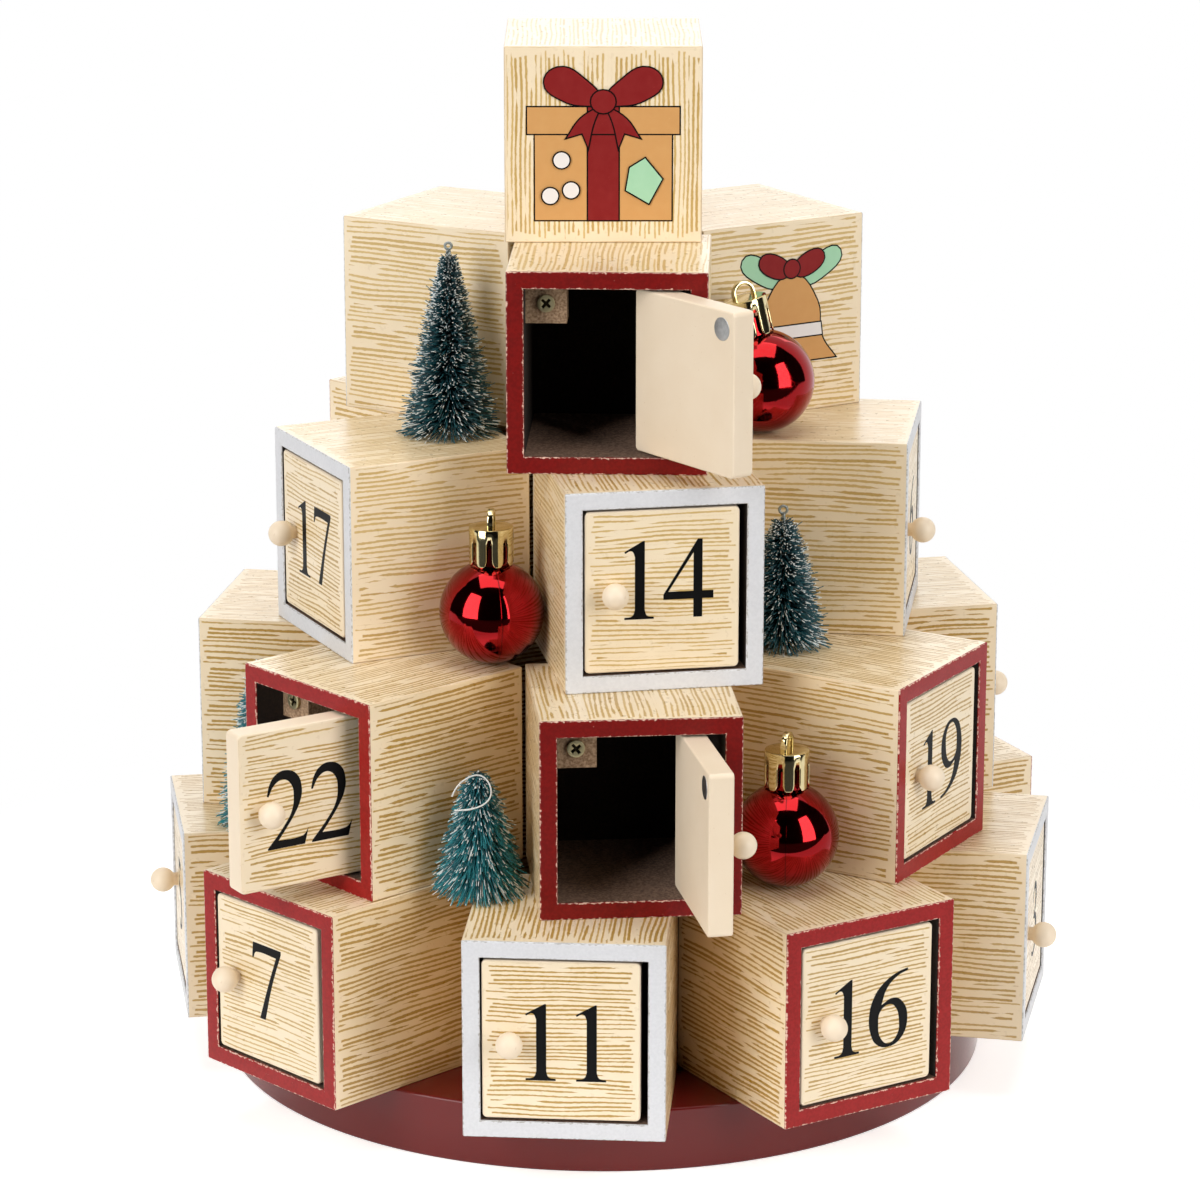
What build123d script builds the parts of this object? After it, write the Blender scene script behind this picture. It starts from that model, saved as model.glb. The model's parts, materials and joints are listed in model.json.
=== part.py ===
from build123d import *
import math
import os

# Wooden advent calendar: four rings of numbered boxes stacked as a tree on a round base, with a closed
# cube on top. Each box has a door that turns on two pins. Baubles and brush trees stand between boxes.
# Millimetres. The origin is the middle of the base's underside, +Z is up and the front faces -Y.

# Base disc
BASE_DIAMETER = 245.0
BASE_THICKNESS = 20.0
BASE_EDGE_RADIUS = 0.8

# Boxes, glued from boards
BOX_WIDTH = 60.0
BOX_HEIGHT = 61.5
BOX_DEPTH = 60.0
BOARD = 5.3
BACK_BOARD = 3.0
BOX_GAP = 0.2  # left between the back corners of two neighbours

# Rings from the bottom up: the turn in degrees, and the boxes' numbers from the front one to the right
RINGS = (
    (-4.8, (11, 16, 3, 20, 9, 1, 13, 5, 7)),
    (4.9, (4, 19, 8, 15, 2, 10, 22)),
    (10.0, (14, 6, 23, 12, 17)),
    (1.3, (24, 18, 21)),
)

# Boxes glued off their ring's even spacing: box widths to the right and outwards, and degrees of twist
OFF_PLACE = {
    11: (0.0, 0.04, 0.5),
    16: (-0.02, 0.05, -4.0),
    3: (-0.07, -0.01, 3.0),
    5: (0.0, -0.09, 4.0),
    7: (0.01, 0.01, -1.0),
    4: (0.01, 0.02, 0.0),
    19: (-0.04, 0.03, 3.0),
    8: (-0.03, 0.02, -6.0),
    10: (0.08, 0.02, -1.5),
    22: (0.06, 0.04, -1.5),
    14: (0.03, -0.1, 0.0),
    6: (0.11, -0.06, 0.0),
    23: (0.0, 0.12, 0.0),
    12: (-0.1, 0.0, 0.0),
    17: (-0.08, -0.06, -2.0),
    24: (0.05, -0.03, -3.5),
    18: (0.07, 0.05, 0.0),
    21: (-0.05, 0.02, 0.0),
}

# Closed cube on top
TOPPER_WIDTH = 60.0
TOPPER_HEIGHT = 60.0

# Doors, hinged on the right as seen from the front
DOOR_THICKNESS = 7.5
DOOR_RECESS = 0.5
DOOR_FREE_GAP = 0.5
DOOR_HINGE_GAP = 2.2
DOOR_END_GAP = 0.7
DOOR_CORNER_RADIUS = 1.5
PIVOT_INSET = 7.0  # from the hinge edge to the pins
OPEN_DOORS = {24: 129.5, 4: 96.0, 22: 80.5}  # degrees that these stand open

# Pivot pins, glued into the door and turning in the boards
PIN_DIAMETER = 2.4
PIN_IN_DOOR = 4.0
PIN_COVER = 2.0  # board left past the pin hole
PIN_RUNNING_CLEARANCE = 0.05
PIN_END_CLEARANCE = 0.2

# Knobs, turned balls with a peg in the door
KNOB_DIAMETER = 8.0
KNOB_NECK_DIAMETER = 4.2
KNOB_NECK_LENGTH = 1.2
KNOB_PEG_DIAMETER = 3.0
KNOB_PEG_COVER = 2.0  # door left behind the peg
KNOB_INSET = 8.5  # from the door's free edge

# Catch: a steel disc on the door meets a screw in a block behind it
CATCH_DISC_DIAMETER = 7.0
CATCH_DISC_THICKNESS = 1.0
CATCH_GAP = 0.3
CATCH_BLOCK_WIDTH = 12.4
CATCH_BLOCK_HEIGHT = 12.4
CATCH_BLOCK_DEPTH = 10.0
SCREW_HEAD_DIAMETER = 5.4
SCREW_HEAD_HEIGHT = 1.2
SCREW_SHANK_DIAMETER = 2.5
SCREW_SHANK_LENGTH = 8.0
SCREW_SLOT_LENGTH = 3.4
SCREW_SLOT_WIDTH = 0.9
SCREW_SLOT_DEPTH = 0.7

# Baubles: a thin globe with a neck, and a cap with legs and a hoop
BAUBLE_DIAMETER = 32.0
BAUBLE_WALL = 0.8
NECK_DIAMETER = 10.0
CAP_DIAMETER = 13.6
CAP_WALL = 0.6
CAP_HEIGHT = 12.0
CAP_SLOTS = 8
CAP_SLOT_WIDTH = 2.2
CAP_SLOT_HEIGHT = 7.5
HOOP_WIDTH = 7.6
HOOP_HEIGHT = 5.4
HOOP_BAND = 2.0
HOOP_WALL = 1.2

# Brush trees: bristles on an upright wire
WIRE_DIAMETER = 2.0
BRISTLE_COUNT = 80
BRISTLE_THICKNESS = 0.7
BRISTLE_RISE = 12.0  # degrees above level
BRISTLE_START = 2.0  # height of the lowest bristle's root
BRISTLE_TIP_REACH = 2.5
BARE_TIP = 2.5

# What stands between two boxes: the ring's place from the bottom, and the gap's place to the right of
# the front box. Baubles then have the degrees that they lean to the right and are turned, and trees have
# a height, a radius and the room left at their right.
BAUBLES = (
    (1, 0, 0.0, 70.0),
    (2, -1, 0.0, 86.0),
    (3, 0, -13.0, 20.0),
    (1, 2, 0.0, 10.0),
    (3, 1, 0.0, 60.0),
)
TREES = (
    (3, -1, 58.0, 15.0, 5.5),
    (1, -1, 39.0, 14.0, 2.2),
    (2, 0, 42.0, 14.0, 0.0),
    (1, -2, 56.0, 14.5, 6.0),
    (2, 1, 50.0, 15.0, 0.0),
)
DECORATION_GAP = 0.3

# Clearances of glued and seated pieces
GLUE_CLEARANCE = 0.02
SEAT_CLEARANCE = 0.05

GOLDEN_ANGLE = 180.0 * (3.0 - math.sqrt(5.0))
INSIDE_WIDTH = BOX_WIDTH - 2 * BOARD
INSIDE_HEIGHT = BOX_HEIGHT - 2 * BOARD
DOOR_WIDTH = INSIDE_WIDTH - DOOR_FREE_GAP - DOOR_HINGE_GAP
DOOR_HEIGHT = INSIDE_HEIGHT - 2 * DOOR_END_GAP
DOOR_BACK = DOOR_RECESS + DOOR_THICKNESS
DOOR_MIDDLE = DOOR_RECESS + DOOR_THICKNESS / 2
DOOR_FREE_EDGE = -INSIDE_WIDTH / 2 + DOOR_FREE_GAP
DOOR_HINGE_EDGE = DOOR_FREE_EDGE + DOOR_WIDTH
PIVOT_X = DOOR_HINGE_EDGE - PIVOT_INSET
PIN_IN_BOARD = BOARD - PIN_COVER - PIN_END_CLEARANCE
CATCH_X = -INSIDE_WIDTH / 2 + CATCH_BLOCK_WIDTH / 2
CATCH_Z = BOX_HEIGHT - BOARD - CATCH_BLOCK_HEIGHT / 2
CATCH_BLOCK_FRONT = DOOR_BACK + CATCH_DISC_THICKNESS + CATCH_GAP + SCREW_HEAD_HEIGHT
CORNER = (Align.CENTER, Align.MIN, Align.MIN)
UPRIGHT = (Align.CENTER, Align.CENTER, Align.MIN)
FACING_BACK = Rot(-90, 0, 0)  # turns +Z to +Y, into the box


def board(width, depth, height, x=0.0, y=0.0, z=0.0):
    """A board centred on x, from y to the back and from z upwards."""
    return Pos(x, y, z) * Box(width, depth, height, align=CORNER)


def rod(diameter, length, place):
    """A round rod that starts at a place and runs along that place's Z."""
    return place * Cylinder(diameter / 2, length, align=UPRIGHT)


def carcass(width, depth, height):
    """Top, bottom and two side boards of a box whose front is at y = 0."""
    side_height = height - 2 * BOARD
    side_x = (width - BOARD) / 2
    return [
        board(width, depth, BOARD, z=height - BOARD),
        board(width, depth, BOARD),
        board(BOARD, depth, side_height, x=-side_x, z=BOARD),
        board(BOARD, depth, side_height, x=side_x, z=BOARD),
    ]


def box_boards():
    """The five boards of a box, with the pin holes in its top and bottom boards."""
    top, bottom, left, right = carcass(BOX_WIDTH, BOX_DEPTH, BOX_HEIGHT)
    hole = PIN_DIAMETER + 2 * PIN_RUNNING_CLEARANCE
    depth = PIN_IN_BOARD + PIN_END_CLEARANCE
    top -= rod(hole, depth, Pos(PIVOT_X, DOOR_MIDDLE, BOX_HEIGHT - BOARD))
    bottom -= rod(hole, depth, Pos(PIVOT_X, DOOR_MIDDLE, BOARD - depth))
    back = board(INSIDE_WIDTH, BACK_BOARD, INSIDE_HEIGHT, y=BOX_DEPTH - BACK_BOARD, z=BOARD)
    return [top, bottom, left, right, back]


def topper_boards():
    """The closed cube's six boards."""
    boards = carcass(TOPPER_WIDTH, TOPPER_WIDTH, TOPPER_HEIGHT)
    inside_width = TOPPER_WIDTH - 2 * BOARD
    inside_height = TOPPER_HEIGHT - 2 * BOARD
    for y in (0.0, TOPPER_WIDTH - BOARD):
        boards.append(board(inside_width, BOARD, inside_height, y=y, z=BOARD))
    return boards


def knob():
    """A ball on a short neck, with its peg. The neck starts at the origin and the ball is towards -Y."""
    ball_out = KNOB_NECK_LENGTH + math.sqrt(KNOB_DIAMETER**2 - KNOB_NECK_DIAMETER**2) / 2
    peg_length = DOOR_THICKNESS - KNOB_PEG_COVER
    ball = Pos(0, -ball_out, 0) * Sphere(KNOB_DIAMETER / 2)
    neck = rod(KNOB_NECK_DIAMETER, ball_out, Pos(0, -ball_out, 0) * FACING_BACK)
    peg = rod(KNOB_PEG_DIAMETER, peg_length, FACING_BACK)
    return ball + neck + peg


def door_pieces():
    """A closed door in its box: the panel, its two pins, its knob and its catch disc."""
    middle_x = (DOOR_FREE_EDGE + DOOR_HINGE_EDGE) / 2
    outline = RectangleRounded(DOOR_WIDTH, DOOR_HEIGHT, DOOR_CORNER_RADIUS)
    face = Pos(middle_x, DOOR_RECESS, BOX_HEIGHT / 2) * FACING_BACK
    panel = face * extrude(outline, DOOR_THICKNESS)
    pin_length = PIN_IN_DOOR + DOOR_END_GAP + PIN_IN_BOARD
    door_bottom = BOARD + DOOR_END_GAP
    door_top = BOX_HEIGHT - BOARD - DOOR_END_GAP
    low_pin = Pos(PIVOT_X, DOOR_MIDDLE, BOARD - PIN_IN_BOARD)
    high_pin = Pos(PIVOT_X, DOOR_MIDDLE, door_top - PIN_IN_DOOR)
    hole = PIN_DIAMETER + 2 * GLUE_CLEARANCE
    panel -= rod(hole, PIN_IN_DOOR, Pos(PIVOT_X, DOOR_MIDDLE, door_bottom))
    panel -= rod(hole, PIN_IN_DOOR, high_pin)
    knob_place = Pos(DOOR_FREE_EDGE + KNOB_INSET, DOOR_RECESS, BOX_HEIGHT / 2)
    peg_hole = KNOB_PEG_DIAMETER + 2 * GLUE_CLEARANCE
    panel -= rod(peg_hole, DOOR_THICKNESS - KNOB_PEG_COVER, knob_place * FACING_BACK)
    disc_place = Pos(CATCH_X, DOOR_BACK, CATCH_Z) * FACING_BACK
    return [
        panel,
        rod(PIN_DIAMETER, pin_length, low_pin),
        rod(PIN_DIAMETER, pin_length, high_pin),
        knob_place * knob(),
        rod(CATCH_DISC_DIAMETER, CATCH_DISC_THICKNESS, disc_place),
    ]


def catch_block():
    """The block in the box's upper left corner, with the screw's hole."""
    left = Pos(CATCH_X, CATCH_BLOCK_FRONT, CATCH_Z - CATCH_BLOCK_HEIGHT / 2)
    block = left * Box(CATCH_BLOCK_WIDTH, CATCH_BLOCK_DEPTH, CATCH_BLOCK_HEIGHT, align=CORNER)
    hole_place = Pos(CATCH_X, CATCH_BLOCK_FRONT, CATCH_Z) * FACING_BACK
    return block - rod(SCREW_SHANK_DIAMETER + 2 * GLUE_CLEARANCE, SCREW_SHANK_LENGTH, hole_place)


def catch_screw():
    """The cross-slotted screw in the block."""
    seat = Pos(CATCH_X, CATCH_BLOCK_FRONT, CATCH_Z)
    front = seat * Pos(0, -SCREW_HEAD_HEIGHT, 0)
    head = rod(SCREW_HEAD_DIAMETER, SCREW_HEAD_HEIGHT, front * FACING_BACK)
    shank = rod(SCREW_SHANK_DIAMETER, SCREW_SHANK_LENGTH, seat * FACING_BACK)
    slot_align = (Align.CENTER, Align.MIN, Align.CENTER)
    level = front * Box(SCREW_SLOT_LENGTH, SCREW_SLOT_DEPTH, SCREW_SLOT_WIDTH, align=slot_align)
    upright = front * Box(SCREW_SLOT_WIDTH, SCREW_SLOT_DEPTH, SCREW_SLOT_LENGTH, align=slot_align)
    return head + shank - level - upright


def height_on_globe(radius, out):
    """Height above a globe's middle of its surface at a distance from the upright axis."""
    return math.sqrt(radius**2 - out**2)


def bauble_heights():
    """The cap's foot and top above the globe's middle. The cap's inner edge sits on the globe."""
    inner = CAP_DIAMETER / 2 - CAP_WALL
    foot = height_on_globe(BAUBLE_DIAMETER / 2, inner) + SEAT_CLEARANCE
    return foot, foot + CAP_HEIGHT


def bauble_globe():
    """The thin globe about the origin, with its open neck."""
    radius = BAUBLE_DIAMETER / 2
    neck = NECK_DIAMETER / 2
    inside = radius - BAUBLE_WALL
    bore = neck - BAUBLE_WALL
    neck_top = bauble_heights()[1] - CAP_WALL - SEAT_CLEARANCE
    neck_foot = height_on_globe(radius, neck)
    bore_foot = height_on_globe(inside, bore)
    profile = [
        ThreePointArc((0, -radius), (radius, 0), (neck, neck_foot)),
        Polyline((neck, neck_foot), (neck, neck_top), (bore, neck_top), (bore, bore_foot)),
        ThreePointArc((bore, bore_foot), (inside, 0), (0, -inside)),
        Line((0, -inside), (0, -radius)),
    ]
    return revolve(Plane.XZ * make_face(Curve() + profile), Axis.Z)


def arch(width, height, depth):
    """An upright plate with a round top, on the origin."""
    round_from = height - width / 2
    top = Pos(0, 0, round_from) * Rot(90, 0, 0) * Cylinder(width / 2, depth)
    return Box(width, depth, round_from, align=UPRIGHT) + top


def bauble_cap():
    """The cap over the neck, slotted into legs, with a hoop moulded on its top."""
    foot, top = bauble_heights()
    cup = rod(CAP_DIAMETER, CAP_HEIGHT, Pos(0, 0, foot))
    cup -= rod(CAP_DIAMETER - 2 * CAP_WALL, CAP_HEIGHT - CAP_WALL, Pos(0, 0, foot))
    slot_align = (Align.MIN, Align.CENTER, Align.MIN)
    for i in range(CAP_SLOTS):
        turn = Rot(0, 0, i * 360.0 / CAP_SLOTS)
        cup -= turn * Pos(0, 0, foot) * Box(CAP_DIAMETER, CAP_SLOT_WIDTH, CAP_SLOT_HEIGHT, align=slot_align)
    hoop_height = HOOP_HEIGHT + CAP_WALL / 2
    hoop = arch(HOOP_WIDTH, hoop_height, HOOP_BAND)
    hoop -= arch(HOOP_WIDTH - 2 * HOOP_WALL, hoop_height - HOOP_WALL, HOOP_BAND)
    return cup + Pos(0, 0, top - CAP_WALL / 2) * hoop


def brush_tree(height, radius):
    """Bristles in a spiral round an upright wire. They shorten towards the tip."""
    wire = rod(WIRE_DIAMETER, height, Pos(0, 0, 0))
    bristle_align = (Align.MIN, Align.CENTER, Align.CENTER)
    rise = radius * math.tan(math.radians(BRISTLE_RISE))
    span = height - BARE_TIP - BRISTLE_START - rise * BRISTLE_TIP_REACH / radius
    bristles = []
    for i in range(BRISTLE_COUNT):
        share = 1.0 - math.sqrt(1.0 - (i + 0.5) / BRISTLE_COUNT)
        reach = radius + (BRISTLE_TIP_REACH - radius) * share
        root = Pos(0, 0, BRISTLE_START + span * share)
        place = root * Rot(0, 0, i * GOLDEN_ANGLE) * Rot(0, -BRISTLE_RISE, 0)
        length = (reach - BRISTLE_THICKNESS) / math.cos(math.radians(BRISTLE_RISE))
        bristles.append(place * Box(length, BRISTLE_THICKNESS, BRISTLE_THICKNESS, align=bristle_align))
    return wire + bristles


def ring_foot(ring):
    """Height of a ring's underside. Rings stand on each other, from the base up."""
    return BASE_THICKNESS + ring * BOX_HEIGHT


def back_radius(count):
    """Distance from the axis to the box backs of an even ring, whose back corners all but touch."""
    return (BOX_WIDTH + BOX_GAP) / 2 / math.tan(math.pi / count)


def box_place(ring, step):
    """Place of a box whose front bottom edge is at the local origin. Steps run to the right."""
    turn, numbers = RINGS[ring]
    count = len(numbers)
    right, outwards, twist = OFF_PLACE.get(numbers[step % count], (0.0, 0.0, 0.0))
    back = Pos(right * BOX_WIDTH, -back_radius(count) - outwards * BOX_WIDTH, ring_foot(ring))
    return Rot(0, 0, turn + step * 360.0 / count) * back * Rot(0, 0, twist) * Pos(0, -BOX_DEPTH, 0)


def gap_place(ring, step, radius, room=0.0):
    """Place for a round decoration between two boxes of a ring, with room to the box at its right."""
    left = Plane(box_place(ring, step))
    right = Plane(box_place(ring, step + 1))
    reach = BOX_WIDTH / 2 + radius + DECORATION_GAP
    past_left = left.origin.dot(left.x_dir) + reach
    before_right = right.origin.dot(right.x_dir) - reach - room
    spread = left.x_dir.X * right.x_dir.Y - left.x_dir.Y * right.x_dir.X
    x = (past_left * right.x_dir.Y - before_right * left.x_dir.Y) / spread
    y = (before_right * left.x_dir.X - past_left * right.x_dir.X) / spread
    return Pos(x, y, ring_foot(ring))


def opened(number, pieces):
    """A door's pieces, turned about its pins by the angle that the door stands open."""
    pivot = Pos(PIVOT_X, DOOR_MIDDLE, 0)
    turn = pivot * Rot(0, 0, OPEN_DOORS.get(number, 0.0)) * pivot.inverse()
    return [turn * piece for piece in pieces]


def write_node(name, solids):
    """One file for each node, with its solids side by side."""
    export_step(Compound(children=list(solids)), f"parts/{name}.step")


os.makedirs("parts", exist_ok=True)

base = rod(BASE_DIAMETER, BASE_THICKNESS, Pos(0, 0, 0))
base = fillet(base.edges().filter_by(GeomType.CIRCLE), BASE_EDGE_RADIUS)
write_node("base_disc", [base])

topper_place = Pos(0, -TOPPER_WIDTH / 2, ring_foot(len(RINGS)))
write_node("topper_cube", [topper_place * piece for piece in topper_boards()])

boards = box_boards()
doors = door_pieces()
block = catch_block()
screw = catch_screw()
blocks = []
screws = []
for ring, (turn, numbers) in enumerate(RINGS):
    for step, number in enumerate(numbers):
        place = box_place(ring, step)
        write_node(f"box_{number:02d}", [place * piece for piece in boards])
        write_node(f"door_{number:02d}", [place * piece for piece in opened(number, doors)])
        blocks.append(place * block)
        screws.append(place * screw)
write_node("catch_blocks", blocks)
write_node("catch_screws", screws)

globe_place = Pos(0, 0, BAUBLE_DIAMETER / 2 + SEAT_CLEARANCE)
bauble_places = []
for ring, step, lean, turn in BAUBLES:
    spot = gap_place(ring, step, BAUBLE_DIAMETER / 2) * globe_place
    bauble_places.append(spot * Rot(0, lean, 0) * Rot(0, 0, turn))
globe = bauble_globe()
cap = bauble_cap()
write_node("bauble_globes", [place * globe for place in bauble_places])
write_node("bauble_caps", [place * cap for place in bauble_places])

for i, (ring, step, height, radius, room) in enumerate(TREES):
    tree = gap_place(ring, step, radius, room) * brush_tree(height, radius)
    write_node(f"brush_tree_{i + 1}", [tree])
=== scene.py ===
"""Looks of the wooden advent calendar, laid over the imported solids."""
import json
import math
import random
from functools import partialmethod

import bmesh
import bpy
from mathutils import Matrix, Vector


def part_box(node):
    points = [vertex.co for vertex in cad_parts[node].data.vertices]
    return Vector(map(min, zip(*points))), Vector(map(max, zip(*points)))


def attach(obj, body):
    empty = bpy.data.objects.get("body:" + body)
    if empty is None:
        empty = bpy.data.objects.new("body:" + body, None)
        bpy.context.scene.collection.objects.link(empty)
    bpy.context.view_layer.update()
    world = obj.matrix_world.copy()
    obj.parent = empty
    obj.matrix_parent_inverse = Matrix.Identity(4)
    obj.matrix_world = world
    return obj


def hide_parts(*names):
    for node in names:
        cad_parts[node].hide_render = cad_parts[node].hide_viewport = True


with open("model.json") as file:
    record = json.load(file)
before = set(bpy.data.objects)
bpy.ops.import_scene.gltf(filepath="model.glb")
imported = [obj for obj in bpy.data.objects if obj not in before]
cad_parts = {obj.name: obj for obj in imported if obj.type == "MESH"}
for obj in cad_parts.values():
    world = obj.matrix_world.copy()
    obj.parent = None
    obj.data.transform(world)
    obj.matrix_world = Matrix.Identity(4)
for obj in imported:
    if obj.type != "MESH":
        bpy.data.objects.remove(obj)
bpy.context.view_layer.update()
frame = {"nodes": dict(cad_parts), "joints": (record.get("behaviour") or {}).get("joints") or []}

MM = 0.001

# Boxes and doors, in the box's own frame: origin in the middle of the front bottom edge,
# x to the right, y inwards, z up.
BOX_WIDTH = 60 * MM
BOX_HEIGHT = 61.5 * MM
BOX_DEPTH = 60 * MM
BOARD = 5.3 * MM
BACK_BOARD = 3 * MM
BOX_EDGE = 0.45 * MM
BASE_EDGE = 0.9 * MM
DOOR_THICKNESS = 7.5 * MM
DOOR_RECESS = 0.5 * MM
DOOR_FREE_EDGE = -24.2 * MM
DOOR_HINGE_EDGE = 22.5 * MM
DOOR_END_GAP = 0.7 * MM
DOOR_CORNER = 1.5 * MM
DOOR_EDGE = 0.6 * MM
PIVOT_X = 15.5 * MM
PIN_DIAMETER = 2.3 * MM
PIN_IN_DOOR = 4 * MM
PIN_IN_BOX = 2.8 * MM
KNOB_DIAMETER = 8 * MM
KNOB_NECK_DIAMETER = 4.2 * MM
KNOB_NECK_LENGTH = 1.2 * MM
KNOB_SINK = 0.5 * MM
KNOB_INSET = 8.5 * MM
CATCH_DISC_DIAMETER = 7 * MM
CATCH_DISC_THICKNESS = 1 * MM
CATCH_DISC_PROUD = 0.15 * MM
CATCH_GAP = 0.3 * MM
SCREW_HEAD_DIAMETER = 5.4 * MM
SCREW_HEAD_HEIGHT = 1.2 * MM
SCREW_SHANK_DIAMETER = 2.5 * MM
SCREW_SHANK_LENGTH = 8 * MM
SCREW_SLOT_LENGTH = 3.4 * MM
SCREW_SLOT_WIDTH = 0.9 * MM
SCREW_SLOT_DEPTH = 0.7 * MM
METAL_EDGE = 0.2 * MM
SCREW_TURN = 13  # degrees more at each number
CATCH_X = -18.5 * MM
CATCH_Z = 50 * MM
RED_FRAMES = {7, 12, 13, 15, 16, 19, 20, 22, 23}
# The red frames of boxes 4 and 24 take a darker copy of the red paint, as painted shade.
SHADED_RED_FRAMES = {4, 24}

# Printing on the wood.
INK = 0.04 * MM
DIGIT_HEIGHT = 24 * MM
DIGIT_CELL = 0.62
# How far a number is printed off its door's middle, in millimetres to the right and up.
NUMBER_SHIFT = (0.3, 0)
NUMBER_SHIFTS = {7: (-0.3, 1.3), 11: (1.4, -0.5), 14: (0.5, 3.4), 22: (0.3, -0.4)}
# Side boards of the lower boxes get painted shade, darker and warmer towards the back, where they face
# into the gaps between boxes.
SIDE_SHADE_TINT = (0.84, 0.73, 0.56, 1)
PICTURE_OUTLINE = 0.45 * MM
PICTURE_BOX = 18
PICTURE_DEPTH = 27 * MM
PICTURE_HEIGHT = 30 * MM

# Baubles: the ring, the gap between boxes counted from the ring's first box, and the degrees that the
# bauble leans to the right and is turned.
BAUBLES = ((1, 0, 0, 70), (2, -1, 0, 86), (3, 0, -13, 20), (1, 2, 0, 10), (3, 1, 0, 60))
SEAM_TURN = 73
BAUBLE_DIAMETER = 32 * MM
DECORATION_GAP = 0.3 * MM
SEAT_CLEARANCE = 0.05 * MM
NECK_RADIUS = 5 * MM
NECK_LENGTH = 5 * MM
CAP_DIAMETER = 13.6 * MM
CAP_RIM = 0.4 * MM
CAP_TOP_RING = 2.2 * MM
CAP_WALL = 0.6 * MM
CAP_HEIGHT = 12 * MM
CAP_LEGS = 8
CAP_LEG_LENGTH = 8 * MM
CAP_LEG_STRAIGHT = 0.65  # of its length, before the round end
CAP_LEG_ROWS = 10
CAP_COLUMNS = 12
CAP_LEG_COLUMNS = 8
HOOP_WIDTH = 7.6 * MM
HOOP_HEIGHT = 5.4 * MM
HOOP_BAND = 2 * MM
HOOP_WALL = 1.2 * MM
HOOP_EDGE = 0.25 * MM
# How far each tree's bristles droop at the foot and at the top, in degrees, the power of its outline,
# which is 1 for a cone and less for a dome, and in millimetres the radius of the wire's eye at its top and
# the bare length below that.
TREES = ((8, -18, 0.95, 1, 3), (42, 34, 0.6, 0, 0.5), (12, -10, 0.65, 1.2, 3), (20, 10, 0.6, 0, 3),
         (10, -12, 0.8, 1, 3))
BRIGHT_TREES = {2, 4}
THREAD_TREE = 2
# The thread that lies over the second tree, in millimetres from the tree's top.
THREAD_PATH = ((-7.8, -5, -7), (-6.6, -4.5, -4), (-4, -3.2, -2), (0, -2.2, -0.6), (2.8, -3.2, -2.2),
               (4.2, -5, -5), (3.6, -6.6, -7.6), (0.5, -7.8, -9.6), (-3.5, -8, -10.3), (-7, -7.2, -10.6))
STRANDS_PER_MM = 78
STRAND_SPREAD = 12  # degrees
TIP_REACH = 0.17  # of the tree's radius
FOOT_REACH = 0.91  # added to that at the foot
STRAND_CLEARANCE = 0.6 * MM  # above the ground
STRAND_RADIUS = 0.13 * MM
WIRE_RADIUS = 0.45 * MM
WIRE_PITCH = 3 * MM
THREAD_RADIUS = 0.25 * MM
GOLDEN_ANGLE = math.pi * (3 - math.sqrt(5))

# Camera, from the photograph's perspective.
CAMERA_PLACE = (-1 * MM, -1335.1 * MM, 521 * MM)
CAMERA_PITCH = 15.94
CAMERA_LENS = 130.5
CAMERA_SENSOR = 36
CAMERA_SHIFT = 0.012

# The room round the camera, in metres.
ROOM_WIDTH = 6
ROOM_FRONT = -3.4
ROOM_BACK = 0.8
ROOM_HEIGHT = 3.6
ROOM_FLOOR_END = -0.32

# Each lamp's place, target, width and height in metres, and its watts.
LAMPS = {
    "left": ((-1.3, -1.25, 1), (0, 0, 1), 1.1, 1.9, 32.5),
    "right": ((1.35, -1.2, 1), (0, 0, 1), 0.9, 1.9, 27),
    "top": ((0, -0.1, 1.6), (0, 0, 0.16), 1.2, 1, 11),
    "back": ((0, 1.7, 1.2), (0, 0, 0.25), 2.2, 1.2, 12),
}
WHITE = (1, 1, 1, 1)
WORLD_LIGHT = 0.06
FLOOR_GLOW = 0.58
FLOOR_FADE = (180, 320)  # in millimetres from the middle

DOOR_MIDDLE = DOOR_RECESS + DOOR_THICKNESS / 2
DOOR_BACK = DOOR_RECESS + DOOR_THICKNESS
DOOR_LOW = BOARD + DOOR_END_GAP
DOOR_HIGH = BOX_HEIGHT - BOARD - DOOR_END_GAP
DOOR_CENTRE = (DOOR_HINGE_EDGE + DOOR_FREE_EDGE) / 2


def linear(red, green, blue):
    """An sRGB colour of 0 to 255 as the linear colour that a shader takes."""
    def channel(value):
        share = value / 255
        return share / 12.92 if share <= 0.04045 else ((share + 0.055) / 1.055) ** 2.4
    return (channel(red), channel(green), channel(blue), 1)


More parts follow.
